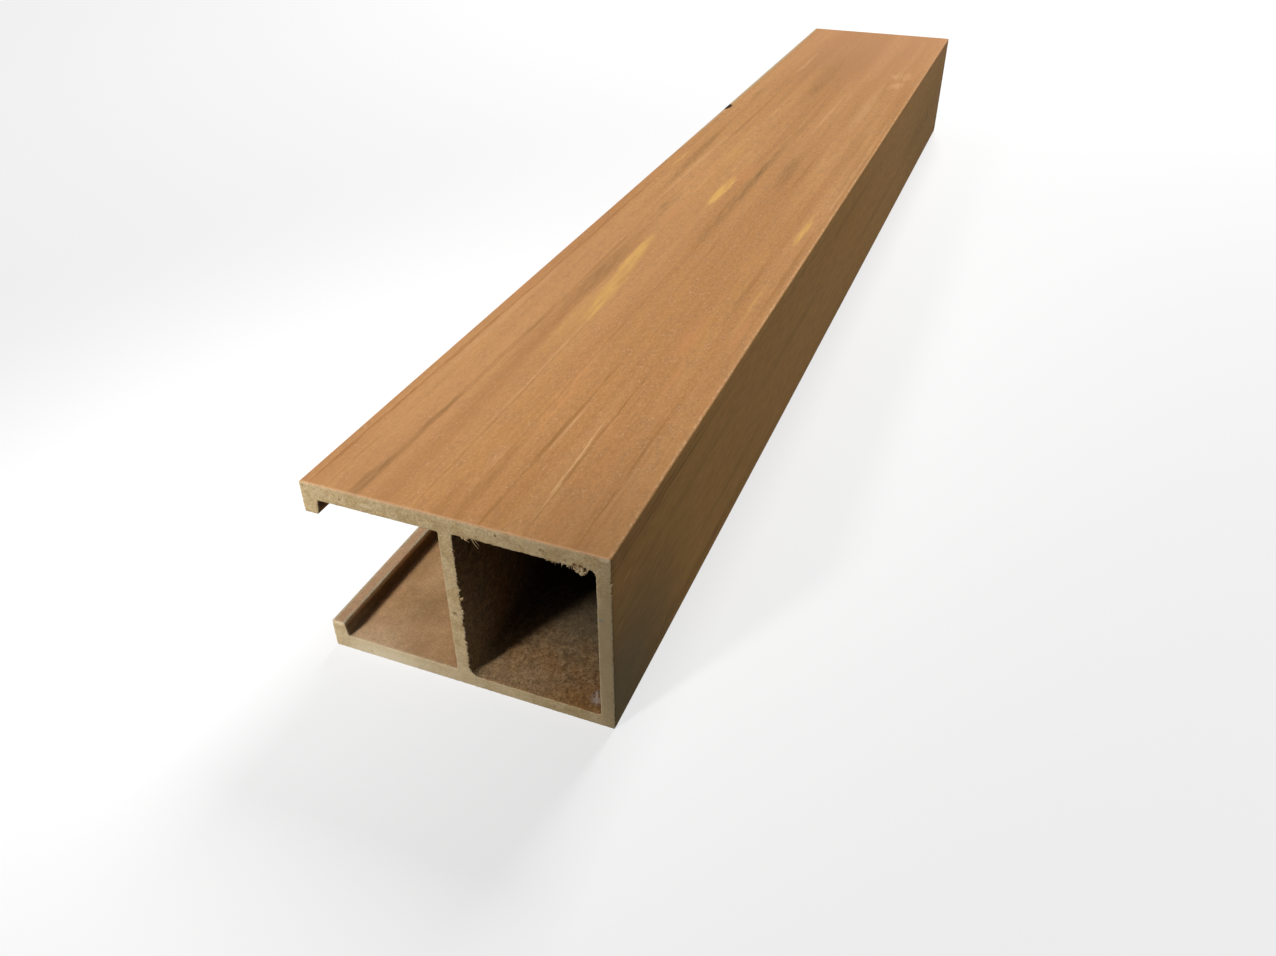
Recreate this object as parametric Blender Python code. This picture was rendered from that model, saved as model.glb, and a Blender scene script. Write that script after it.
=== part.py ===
"""A composite ceiling slat, cut to a short length: one hollow extrusion of wood-plastic composite.

It lies on its wide side. Length runs along Y and width along X. The face that looks down into the room
is at +X, and the channel that clips onto the ceiling rail opens towards -X. The origin is on the floor,
below the middle of the slat. Lengths are in metres.
"""

import math

import bpy
from mathutils import Matrix, Vector

# The cut piece
SLAT_LENGTH = 0.480
SLAT_WIDTH = 0.075
SLAT_HEIGHT = 0.050

# Walls
FACE_WALL = 0.0034
WEB = 0.0034
CHAMBER_ROOF = 0.0041
CHAMBER_FLOOR = 0.0034
CHANNEL_ROOF = 0.0044
CHANNEL_FLOOR = 0.0041

# The clip channel, from the lips' outer side to the web
CHANNEL_DEPTH = 0.0347

# The two lips that catch the rail: each stands into the mouth, and its inner side leans outwards to the tip
LIP_REACH = 0.0040
LIP_ROOT_THICKNESS = 0.0042
LIP_TIP_THICKNESS = 0.0036

# Radii of the section's corners
ARRIS_RADIUS = 0.0012
LIP_TIP_RADIUS = 0.0004
CHANNEL_FILLET = 0.0004
CHAMBER_FILLET = 0.0006
FACE_ROOF_FILLET = 0.0014
WEB_FOOT_FILLET = 0.0027

# How finely a rounded corner is stepped
STEPS_ROUND_A_CIRCLE = 24

# The most of an edge that the curve at one of its ends may take
EDGE_SHARE = 0.48


def rounded_corner(before, corner, after, radius):
    """The points of the arc that rounds one corner of an outline, limited by the edges beside it."""
    to_before = before - corner
    to_after = after - corner
    half_angle = to_before.angle(to_after) / 2
    longest_cut = EDGE_SHARE * min(to_before.length, to_after.length)
    cut_back = min(radius / math.tan(half_angle), longest_cut)
    inwards = (to_before.normalized() + to_after.normalized()).normalized()
    centre = corner + inwards * cut_back / math.cos(half_angle)
    start = corner + to_before.normalized() * cut_back - centre
    end = corner + to_after.normalized() * cut_back - centre
    turn = -start.angle_signed(end)
    steps = max(1, round(STEPS_ROUND_A_CIRCLE * abs(turn) / math.tau))
    return [centre + Matrix.Rotation(turn * step / steps, 2) @ start for step in range(steps + 1)]


def rounded_outline(corners):
    """A closed outline from corners that are each (across, up, radius)."""
    places = [Vector((across, up)) for across, up, _ in corners]
    points = []
    for index, (_, _, radius) in enumerate(corners):
        before = places[index - 1]
        after = places[(index + 1) % len(places)]
        points += rounded_corner(before, places[index], after, radius)
    return points


def outer_corners():
    """The outside of the section and the open channel, as one outline that starts at the lower lip."""
    lips_side = -SLAT_WIDTH / 2
    face_side = SLAT_WIDTH / 2
    web_side = lips_side + CHANNEL_DEPTH
    lip_root = lips_side + LIP_ROOT_THICKNESS
    lip_tip = lips_side + LIP_TIP_THICKNESS
    channel_bottom = CHANNEL_FLOOR
    channel_top = SLAT_HEIGHT - CHANNEL_ROOF
    return [
        (lips_side, 0, ARRIS_RADIUS),
        (face_side, 0, ARRIS_RADIUS),
        (face_side, SLAT_HEIGHT, ARRIS_RADIUS),
        (lips_side, SLAT_HEIGHT, ARRIS_RADIUS),
        (lips_side, channel_top - LIP_REACH, LIP_TIP_RADIUS),
        (lip_tip, channel_top - LIP_REACH, LIP_TIP_RADIUS),
        (lip_root, channel_top, CHANNEL_FILLET),
        (web_side, channel_top, CHANNEL_FILLET),
        (web_side, channel_bottom, CHANNEL_FILLET),
        (lip_root, channel_bottom, CHANNEL_FILLET),
        (lip_tip, channel_bottom + LIP_REACH, LIP_TIP_RADIUS),
        (lips_side, channel_bottom + LIP_REACH, LIP_TIP_RADIUS),
    ]


def chamber_corners():
    """The closed chamber between the web and the wall of the visible face."""
    chamber_left = -SLAT_WIDTH / 2 + CHANNEL_DEPTH + WEB
    chamber_right = SLAT_WIDTH / 2 - FACE_WALL
    chamber_top = SLAT_HEIGHT - CHAMBER_ROOF
    return [
        (chamber_left, CHAMBER_FLOOR, WEB_FOOT_FILLET),
        (chamber_right, CHAMBER_FLOOR, CHAMBER_FILLET),
        (chamber_right, chamber_top, FACE_ROOF_FILLET),
        (chamber_left, chamber_top, CHAMBER_FILLET),
    ]


def add_outline(curve, points):
    """Adds a closed polyline to a flat curve."""
    spline = curve.splines.new("POLY")
    spline.points.add(len(points) - 1)
    for spline_point, place in zip(spline.points, points):
        spline_point.co = (place.x, place.y, 0, 1)
    spline.use_cyclic_u = True


def composite_material():
    """Orange-brown wood-plastic composite with a dull skin."""
    material = bpy.data.materials.new("wood_plastic_composite")
    material.use_nodes = True
    shader = material.node_tree.nodes["Principled BSDF"]
    shader.inputs["Base Color"].default_value = (0.36, 0.17, 0.07, 1)
    shader.inputs["Roughness"].default_value = 0.6
    shader.inputs["Metallic"].default_value = 0
    return material


def make_slat(collection):
    """The section, drawn flat and pushed along the length by half of it each way."""
    section = bpy.data.curves.new("slat_section", "CURVE")
    section.dimensions = "2D"
    section.fill_mode = "BOTH"
    add_outline(section, rounded_outline(outer_corners()))
    add_outline(section, rounded_outline(chamber_corners()))
    section.extrude = SLAT_LENGTH / 2
    section.materials.append(composite_material())

    slat = bpy.data.objects.new("ceiling_slat", section)
    slat.rotation_euler.x = math.radians(90)
    collection.objects.link(slat)


def main():
    for leftover in list(bpy.data.objects):
        bpy.data.objects.remove(leftover)
    collection = bpy.data.collections.new("composite_ceiling_slat")
    bpy.context.scene.collection.children.link(collection)
    make_slat(collection)


main()
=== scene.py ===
# %% [markdown]
# # A composite ceiling slat
#
# The real slat is one long hollow bar. Ground wood and plastic are melted together and pushed through
# a steel die, a streaky wood-coloured skin is laid on at the same time, and a saw then cuts the bar to
# length. So there are two kinds of surface to make: the soft skin, with streaks along the length, and
# the khaki sawn ends, with a ragged edge where the blade left the hollow chamber.
#
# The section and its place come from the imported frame. This script dresses it.

# %% Load the frame
import math
import random
from collections import namedtuple

import bmesh
import bpy
from mathutils import Matrix, Vector, noise


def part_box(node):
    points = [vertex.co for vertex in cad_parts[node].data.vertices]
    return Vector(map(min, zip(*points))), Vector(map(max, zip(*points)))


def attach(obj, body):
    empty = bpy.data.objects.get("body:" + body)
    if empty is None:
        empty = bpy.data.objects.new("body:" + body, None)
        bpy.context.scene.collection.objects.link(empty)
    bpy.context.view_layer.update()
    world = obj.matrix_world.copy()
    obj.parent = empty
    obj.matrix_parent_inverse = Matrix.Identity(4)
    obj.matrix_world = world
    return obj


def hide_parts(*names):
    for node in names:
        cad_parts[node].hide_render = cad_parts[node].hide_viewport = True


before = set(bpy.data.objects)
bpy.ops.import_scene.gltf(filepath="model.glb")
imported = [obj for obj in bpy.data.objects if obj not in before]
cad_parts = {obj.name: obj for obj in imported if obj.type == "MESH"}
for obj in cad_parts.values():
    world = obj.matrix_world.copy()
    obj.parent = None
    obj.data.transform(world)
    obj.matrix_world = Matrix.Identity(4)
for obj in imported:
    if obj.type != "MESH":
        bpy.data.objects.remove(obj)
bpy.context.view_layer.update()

MM = 0.001
slat_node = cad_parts["ceiling_slat"]
low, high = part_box("ceiling_slat")
LENGTH = high.y - low.y
WIDTH = high.x - low.x
HEIGHT = high.z - low.z
print(f"the slat is {WIDTH / MM:.1f} x {LENGTH / MM:.1f} x {HEIGHT / MM:.1f} mm")

# %% [markdown]
# ## Places on the slat
#
# It is easier to think in millimetres from one corner, as a maker would with a steel rule. Here
# `across` is counted from the side with the clip channel, `along` from the near sawn end and `up` from
# the floor. The chamber's walls are named once, because the burrs and the marks are set out from them.

# %% A ruler on the slat
CHAMBER_LEFT = 38.1
CHAMBER_RIGHT = 71.6
CHAMBER_ROOF = 45.9
CHAMBER_FLOOR = 3.4
CHAMBER_MIDDLE = (CHAMBER_LEFT + CHAMBER_RIGHT) / 2
TOP = HEIGHT / MM
FACE_SIDE = WIDTH / MM
HALF_WAY = LENGTH / MM / 2


def on_slat(across, along, up):
    """A place on the slat in metres, from millimetres off its near, lower, channel-side corner."""
    return Vector((low.x + across * MM, low.y + along * MM, low.z + up * MM))


def off_slat(place):
    """The same the other way: millimetres across, along and up for a place in metres."""
    return Vector((place.x - low.x, place.y - low.y, place.z - low.z)) / MM


print("the middle of the chamber is at", on_slat(CHAMBER_MIDDLE, 0, TOP / 2))

# %% [markdown]
# ## The section as a flat plate
#
# The die gives every slat the same section, so the section is where the mesh starts. A copy of the
# frame's mesh has it already: its loose triangles are merged, and everything but the near end is
# thrown away. That leaves a flat plate of long thin triangles. Cutting it in two through the chamber
# makes each half a plain shape without a hole, so that each can be dissolved into a single face.

# %% The near end of the frame's mesh
MERGE = 0.01 * MM
SNAP = 0.04 * MM

slat = bmesh.new()
slat.from_mesh(slat_node.data)
bmesh.ops.remove_doubles(slat, verts=slat.verts, dist=MERGE)
behind_the_end = [face for face in slat.faces if face.calc_center_median().y > low.y + MERGE]
bmesh.ops.delete(slat, geom=behind_the_end, context="FACES")


def cut(mesh, place, direction):
    """Cuts a whole mesh with a plane, and snaps to corners that it almost meets."""
    everything = mesh.verts[:] + mesh.edges[:] + mesh.faces[:]
    bmesh.ops.bisect_plane(mesh, geom=everything, dist=SNAP, plane_co=place, plane_no=direction)


chamber_middle = on_slat(CHAMBER_MIDDLE, 0, 0)
cut(slat, chamber_middle, (1, 0, 0))
for side in (-1, 1):
    half = [face for face in slat.faces if (face.calc_center_median().x - chamber_middle.x) * side > 0]
    bmesh.ops.dissolve_faces(slat, faces=half, use_verts=False)
print("the plate has", len(slat.faces), "faces and", len(slat.verts), "corners")

# %% [markdown]
# ## Crisper corners
#
# The plain solid has soft outer corners, but a die leaves them almost sharp, and a sharp corner is what
# catches the eye on the sawn end. Each corner's arc is shrunk about its own centre, and the centre moves
# towards the corner, so the two flats beside it still touch the arc. The overall size stays the same.

# %% Shrink the corner arcs
SOFT_RADIUS = 1.2
CRISP_RADIUS = 0.5
CORNER = SOFT_RADIUS + 0.01


def crisp(place, farthest):
    """Where one coordinate of a corner point belongs: `place` of 0 to `farthest`, in millimetres."""
    from_side = min(place, farthest - place)
    moved = from_side * CRISP_RADIUS / SOFT_RADIUS
    return moved if place < farthest / 2 else farthest - moved


crisp_points = 0
for point in slat.verts:
    across, along, up = off_slat(point.co)
    if min(across, FACE_SIDE - across) < CORNER and min(up, TOP - up) < CORNER:
        point.co = on_slat(crisp(across, FACE_SIDE), along, crisp(up, TOP))
        crisp_points += 1
print("moved", crisp_points, "points of the four outer corners")

# %% [markdown]
# ## A rim and a fine grid
#
# A saw never leaves a perfect corner. An inset gives the plate a narrow rim, whose outer edge can be
# pushed back later for the worn arris. Then planes a third of a millimetre apart cut the plate into a
# grid, so that scratches and the burr have points to move.

# %% Rim and grid
RIM = 0.22 * MM
GRID = 0.36 * MM

bmesh.ops.inset_region(slat, faces=slat.faces[:], thickness=RIM, depth=0, use_even_offset=True)
for step in range(1, int(WIDTH / GRID)):
    cut(slat, (low.x + step * GRID, 0, 0), (1, 0, 0))
for step in range(1, int(HEIGHT / GRID)):
    cut(slat, (0, 0, low.z + step * GRID), (0, 0, 1))
section_area = sum(face.calc_area() for face in slat.faces)
print(f"the section is {section_area / MM / MM:.0f} square mm in {len(slat.faces)} cells")

# %% [markdown]
# ## Through the die
#
# Extruding the plate is what the machine does. The long faces are then divided into rings, and a
# cosine moves the rings towards both ends, where the saw has been and where detail is wanted.

# %% Extrude and divide
RINGS = 39

pushed = bmesh.ops.extrude_face_region(slat, geom=slat.faces[:])["geom"]
pushed_points = [item for item in pushed if isinstance(item, bmesh.types.BMVert)]
bmesh.ops.translate(slat, verts=pushed_points, vec=(0, LENGTH, 0))
bmesh.ops.recalc_face_normals(slat, faces=slat.faces)

long_edges = [edge for edge in slat.edges if abs(edge.verts[0].co.y - edge.verts[1].co.y) > LENGTH / 2]
bmesh.ops.subdivide_edges(slat, edges=long_edges, cuts=RINGS)
for point in slat.verts:
    share = (point.co.y - low.y) / LENGTH
    point.co.y = low.y + LENGTH * (1 - math.cos(math.pi * share)) / 2
slat.normal_update()
print("the slat has", len(slat.verts), "points and", len(slat.faces), "faces")

# %% [markdown]
# ## Finer still where the saw tore
#
# Torn plastic has detail far below a third of a millimetre, but only in a few places. So the edge of
# the chamber and the outer edge beside it are divided again at both ends, and the grid is divided
# again round each pit. Dividing only there keeps the whole mesh light. It leaves faces with many
# sides on the sawn ends, and poking those from their middle makes clean triangles of them.

# %% Divide the torn edges and the pits
Pit = namedtuple("Pit", "across up radius depth dark")
PITS = (
    Pit(1.0, 49.0, 0.25, 0.1, 0.4),
    Pit(10.3, 47.5, 0.3, 0.12, 0.4),
    Pit(19.7, 49.1, 0.25, 0.1, 0.3),
    Pit(36.3, 22.5, 0.42, 0.28, 0.5),
    Pit(49.0, 48.6, 0.26, 0.3, 0.8),
    Pit(59.3, 47.9, 0.3, 0.2, 0.5),
    Pit(60.0, 47.8, 0.24, 0.15, 0.4),
    Pit(64.9, 46.9, 0.36, 0.12, 0.3),
    Pit(66.9, 46.2, 0.42, 0.55, 0.9),
    Pit(68.3, 46.2, 0.4, 0.45, 0.8),
    Pit(69.2, 45.8, 0.36, 0.6, 0.9),
    Pit(10.3, 1.3, 0.25, 0.15, 0.4),
    Pit(59.9, 1.5, 0.3, 0.2, 0.4),
)


def in_chamber(across, up):
    """True on the walls of the closed chamber and nowhere else."""
    slack = 0.15
    beside = CHAMBER_LEFT - slack < across < CHAMBER_RIGHT + slack
    return beside and CHAMBER_FLOOR - slack < up < CHAMBER_ROOF + slack


def on_face_side(across):
    return across > FACE_SIDE - 0.1


def is_sawn(face):
    return abs(face.normal.y) > 0.9


def middle_of(edge):
    return off_slat((edge.verts[0].co + edge.verts[1].co) / 2)


def is_torn(edge):
    """True for the outline round the chamber and down the face side, where the blade came out."""
    across, along, up = middle_of(edge)
    on_outline = sum(map(is_sawn, edge.link_faces)) == 1
    return on_outline and (in_chamber(across, up) or on_face_side(across))


def is_near_pit(edge):
    """True for an edge within the near sawn end that has a pit close by."""
    across, along, up = middle_of(edge)
    if along > HALF_WAY or not all(map(is_sawn, edge.link_faces)):
        return False
    return any(math.hypot(across - pit.across, up - pit.up) < pit.radius + 0.3 for pit in PITS)


torn_edges = [edge for edge in slat.edges if is_torn(edge)]
bmesh.ops.subdivide_edges(slat, edges=torn_edges, cuts=2)
pit_edges = [edge for edge in slat.edges if is_near_pit(edge)]
bmesh.ops.subdivide_edges(slat, edges=pit_edges, cuts=2, use_grid_fill=True)
slat.normal_update()
many_sided = [face for face in slat.faces if is_sawn(face) and len(face.verts) > 4]
bmesh.ops.poke(slat, faces=many_sided)
print("divided", len(torn_edges), "torn edges and", len(pit_edges), "edges round the pits")

# %% [markdown]
# ## The skin's relief
#
# The skin is embossed with a very shallow grain that runs along the slat, and the raw inside of the
# chamber is lumpy, because nothing presses it against the die. Both are a few hundredths of a
# millimetre of noise along each point's normal. The noise is stretched by dividing the length.

# %% Grain and lumps
GRAIN_WIDTH = 1.6
GRAIN_LENGTH = 70
GRAIN_DEPTH = 0.03 * MM
LUMP_SIZE = 3.2
LUMP_DEPTH = 0.10 * MM

# A new layer makes all the points afresh, so it is added before any of them are collected.
worn_layer = slat.verts.layers.float.new("worn")
sawn_points = {point for face in slat.faces if is_sawn(face) for point in face.verts}
for point in slat.verts:
    if point in sawn_points:
        continue
    across, along, up = off_slat(point.co)
    if in_chamber(across, up):
        lumps = noise.noise(Vector((across, along / 2, up)) / LUMP_SIZE)
        point.co += point.normal * lumps * LUMP_DEPTH
    else:
        grain = noise.noise(Vector((across / GRAIN_WIDTH, along / GRAIN_LENGTH, up / GRAIN_WIDTH)))
        point.co += point.normal * grain * GRAIN_DEPTH
print(len(sawn_points), "points lie on the two sawn ends")

# %% [markdown]
# ## The sawn ends
#
# Three things happened here. The blade left shallow scratches. Air bubbles and crumbs left small
# pits. And the sharp corner broke away a little everywhere. Each is a move of points: along the
# length for the scratches and pits, and for the outline back into the slat, by an uneven amount.
# A number stored on each point remembers how worn it is, for the finishes to read later.

# %% Scratches, pits and the worn arris
SCRATCH_DEPTH = 0.02 * MM
WORN = 0.12 * MM
WORN_MORE = 0.12 * MM


def pit_depth(across, up):
    """How deep the deepest pit is at this place on the near sawn end."""
    depth = 0
    for pit in PITS:
        away = math.hypot(across - pit.across, up - pit.up) / pit.radius
        uneven = 0.35 * noise.noise(Vector((across * 4, up * 4, 2)))
        depth = max(depth, (1 - away * away + uneven) * pit.depth)
    return depth * MM


def skin_normal(point):
    """The way out of the material at a point on a sawn end's outline, square to the length."""
    total = Vector((0, 0, 0))
    for face in point.link_faces:
        if not is_sawn(face):
            total += face.normal
    total.y = 0
    return total.normalized()


outline_points = [point for point in sawn_points if not all(map(is_sawn, point.link_faces))]
out_of_material = {point: skin_normal(point) for point in outline_points}
for point in sawn_points:
    across, along, up = off_slat(point.co)
    near_end = along < HALF_WAY
    inwards = 1 if near_end else -1
    scratches = noise.noise(Vector((across / 3, up / 0.5, 40 * inwards)))
    move = SCRATCH_DEPTH * scratches
    if near_end:
        move += pit_depth(across, up)
    if point in out_of_material:
        move += WORN + WORN_MORE * noise.noise(Vector((across, up, inwards)) * 0.9)
        point[worn_layer] = 1
    point.co.y += inwards * move
print("pitted and worn:", len(PITS), "pits and", len(out_of_material), "arris points")

# %% [markdown]
# ## The burr round the chamber
#
# The blade drags soft plastic with it, and where it breaks through into a hollow it leaves a ragged
# lip hanging from the edge. The lip is the outline again, moved out of the material: a little all the
# way along the roof and the web, further where a lump hangs down, and back where a bit broke off.

# %% Raise the burr
# Each tear is its place along the edge, half its width, and how far it stands out.
ROOF_TEARS = (
    (41.3, 1.2, 0.55),
    (42.8, 0.45, -0.65),
    (44.6, 1.7, -0.3),
    (52.0, 4.0, 0.12),
    (54.9, 0.4, -0.2),
    (58.5, 3.5, 0.14),
    (62.0, 0.55, 0.22),
    (63.1, 0.45, 0.3),
    (64.3, 0.5, 0.26),
    (65.5, 0.6, 0.36),
    (66.8, 0.9, 0.5),
    (68.3, 1.9, 1.5),
    (67.4, 0.45, 0.35),
    (69.5, 0.5, 0.45),
)
WEB_TEARS = (
    (41.0, 0.5, -0.2),
    (36.5, 0.4, -0.22),
    (33.6, 0.5, 0.18),
    (30.1, 0.55, 0.45),
    (28.9, 0.4, -0.2),
    (25.8, 0.5, -0.18),
    (23.6, 1.3, 0.36),
    (19.2, 0.6, -0.18),
    (14.9, 0.45, -0.3),
    (14.1, 0.45, 0.4),
    (10.6, 0.6, 0.15),
)
FACE_SIDE_NICKS = (
    (44.0, 0.4, 0.45),
    (40.9, 0.45, 0.28),
    (37.2, 0.5, 0.12),
    (33.0, 0.6, 0.12),
    (27.5, 0.7, 0.1),
    (21.8, 1.0, 0.14),
    (13.0, 0.6, 0.08),
)


def hump(distance, half_width):
    """One at the middle, falling smoothly to nothing at half_width and beyond."""
    share = min(1, abs(distance) / half_width)
    return (1 - share * share) ** 2


def torn(place, tears):
    return sum(height * hump(place - at, half_width) for at, half_width, height in tears)


def ragged(across, up, seed):
    """Fine raggedness between about -1 and 1, from a coarse noise and one four times finer."""
    coarse = noise.noise(Vector((across * 1.3, up * 1.3, seed)))
    fine = noise.noise(Vector((across * 5.2, up * 5.2, seed + 7)))
    return coarse + fine


def burr_height(across, up, seed):
    """How far the burr stands into the chamber, in millimetres, at a place on its edge."""
    if up > CHAMBER_ROOF - 1.2:
        rough = 0.10 + 0.14 * hump(across - 42, 6) + 0.22 * hump(across - 65, 6)
        return rough * (0.3 + ragged(across, up, seed)) + torn(across, ROOF_TEARS)
    if across < CHAMBER_LEFT + 1:
        return 0.40 * ragged(across, up, seed) + torn(up, WEB_TEARS)
    return 0.05 * ragged(across, up, seed)


burred = 0
for point, outwards in out_of_material.items():
    across, along, up = off_slat(point.co)
    near_end = along < HALF_WAY
    if in_chamber(across, up):
        height = burr_height(across, up, 3) if near_end else 0.18 * ragged(across, up, 20)
        point.co += outwards * height * MM
        burred += 1
    elif on_face_side(across):
        bite = 0.06 + 0.10 * ragged(across, up, 11)
        if near_end:
            bite += torn(up, FACE_SIDE_NICKS)
        point.co -= outwards * bite * MM
print("burred", burred, "points round the chamber's two ends")

# %% [markdown]
# ## Shader maths as plain sums
#
# A finish is a tree of nodes, and most of its nodes are arithmetic. The class below wraps one socket
# and gives it `+`, `-`, `*` and the rest, so that `1 - mask` adds its Math node by itself. Any other
# node comes from one method, `node`, that takes its type, its settings and its inputs.

# %% A socket that can be reckoned with
class Field:
    """A value that varies over a surface."""

    def __init__(self, finish, socket):
        self.finish = finish
        self.socket = socket

    def reckon(self, operation, first, second):
        return self.finish.node("ShaderNodeMath", {"operation": operation}, {0: first, 1: second})

    def __add__(self, other):
        return self.reckon("ADD", self, other)

    def __sub__(self, other):
        return self.reckon("SUBTRACT", self, other)

    def __rsub__(self, other):
        return self.reckon("SUBTRACT", other, self)

    def __mul__(self, other):
        return self.reckon("MULTIPLY", self, other)

    def at_least(self, other):
        return self.reckon("MAXIMUM", self, other)

    __radd__ = __add__
    __rmul__ = __mul__


class Finish:
    """A material under construction, with a ruler in millimetres on the slat."""

    def __init__(self, name, roughness, gloss=0.03):
        self.material = bpy.data.materials.new(name)
        self.material.use_nodes = True
        self.tree = self.material.node_tree
        self.shader = self.tree.nodes["Principled BSDF"]
        self.shader.inputs["Roughness"].default_value = roughness
        self.shader.inputs["Specular IOR Level"].default_value = gloss
        place = self.node("ShaderNodeTexCoord", outlet="Object")
        to_millimetres = {"Vector": place, "Location": -low / MM, "Scale": (1 / MM, 1 / MM, 1 / MM)}
        self.ruler = self.node("ShaderNodeMapping", {}, to_millimetres)

    def plug(self, value, inlet):
        if isinstance(value, Field):
            self.tree.links.new(value.socket, inlet)
        else:
            inlet.default_value = value

    def node(self, kind, settings=None, values=None, outlet=0):
        made = self.tree.nodes.new(kind)
        for name, setting in (settings or {}).items():
            setattr(made, name, setting)
        for name, value in (values or {}).items():
            self.plug(value, made.inputs[name])
        return Field(self, made.outputs[outlet])

    def fade(self, field, start, end):
        """0 where the field is at start and 1 where it is at end, smoothly between."""
        values = {"Value": field, "From Min": start, "From Max": end}
        return self.node("ShaderNodeMapRange", {"interpolation_type": "SMOOTHSTEP"}, values)

    def noise(self, size, seed=0, detail=2.0, rough=0.5, outlet="Fac", ruler=None):
        """Noise about 0.5, whose blots are about `size` millimetres across, along and up."""
        scale = [1 / length for length in size]
        stretch = {"Vector": ruler or self.ruler, "Location": (seed, seed, seed), "Scale": scale}
        stretched = self.node("ShaderNodeMapping", {}, stretch)
        values = {"Vector": stretched, "Scale": 1.0, "Detail": detail, "Roughness": rough}
        return self.node("ShaderNodeTexNoise", {"noise_dimensions": "3D"}, values, outlet)

    def wavy_ruler(self, size, sway, seed):
        """The ruler with its places swayed by up to about a third of `sway` millimetres."""
        wave = self.noise(size, seed, outlet="Color")
        wave_and_middle = {0: wave, 1: (0.5, 0.5, 0.5)}
        centred = self.node("ShaderNodeVectorMath", {"operation": "SUBTRACT"}, wave_and_middle)
        swayed = {0: centred, 1: sway, 2: self.ruler}
        return self.node("ShaderNodeVectorMath", {"operation": "MULTIPLY_ADD"}, swayed)

    def spot(self, place, reach, lean=0, edge=0.6, ruler=None):
        """1 inside an ellipsoid and 0 outside: its middle, its half lengths and its drift per length."""
        inside = {"Location": place, "Rotation": (0, 0, -lean), "Scale": reach}
        inside["Vector"] = ruler or self.ruler
        unit_ball = self.node("ShaderNodeMapping", {"vector_type": "TEXTURE"}, inside)
        ball = self.node("ShaderNodeTexGradient", {"gradient_type": "SPHERICAL"}, {0: unit_ball}, "Fac")
        return self.fade(ball, 0, edge)

    def worn(self):
        """1 on the outline of the sawn ends, and 0 a little way off it."""
        return self.node("ShaderNodeAttribute", {"attribute_name": "worn"}, {}, "Fac")

    def blend(self, share, first, second):
        """A colour part of the way from the first to the second."""
        settings = {"data_type": "RGBA", "clamp_factor": True}
        return self.node("ShaderNodeMix", settings, {0: share, 6: first, 7: second}, outlet=2)

    def stain(self, colour, other, strength, place, reach, edge=0.6, ruler=None):
        """A colour with a spot of another on it, which is as strong in its middle as `strength`."""
        return self.blend(self.spot(place, reach, edge=edge, ruler=ruler) * strength, colour, other)

    def tone(self, colour, share):
        """A colour made lighter or darker by a number that varies."""
        return self.node("ShaderNodeVectorMath", {"operation": "SCALE"}, {0: colour, "Scale": share})

    def relief(self, *layers):
        """Bumps, each a field from 0 to 1 and the depth in millimetres of the step between them."""
        height = sum(field * depth for field, depth in layers)
        bump = self.node("ShaderNodeBump", {}, {"Height": height, "Distance": MM, "Strength": 1.0})
        self.plug(bump, self.shader.inputs["Normal"])

    def colour(self, value):
        self.plug(value, self.shader.inputs["Base Color"])

    def roughness(self, value):
        self.plug(value, self.shader.inputs["Roughness"])


def paint(red, green, blue):
    """A colour as a paint chart gives it, 0 to 255, made linear for the shader."""
    def linear(part):
        share = part / 255
        return share / 12.92 if share < 0.04045 else ((share + 0.055) / 1.055) ** 2.4
    return (linear(red), linear(green), linear(blue), 1)


print("tan skin in linear light:", [round(part, 3) for part in paint(190, 138, 84)[:3]])

# %% [markdown]
# ## The skin's figure
#
# The skin imitates timber with streaks of pigment that the die draws out along the length. Noise makes
# most of them: the same noise as for clouds, but stretched twenty times longer than it is wide. The
# contrast is low: wide bands come first, then crisp-edged ones, then fine streaks, hair lines and pale
# flecks. Each layer changes the colour by only a few parts in a hundred.

# %% Bands, streaks and flecks
SKIN_DEEP = paint(181, 130, 81)
SKIN_LIGHT = paint(197, 146, 95)
SKIN_ROSY = paint(199, 139, 90)
SKIN_GOLDEN = paint(197, 147, 82)
SKIN_DULL = paint(172, 128, 88)
FLECK = paint(215, 168, 120)


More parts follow.
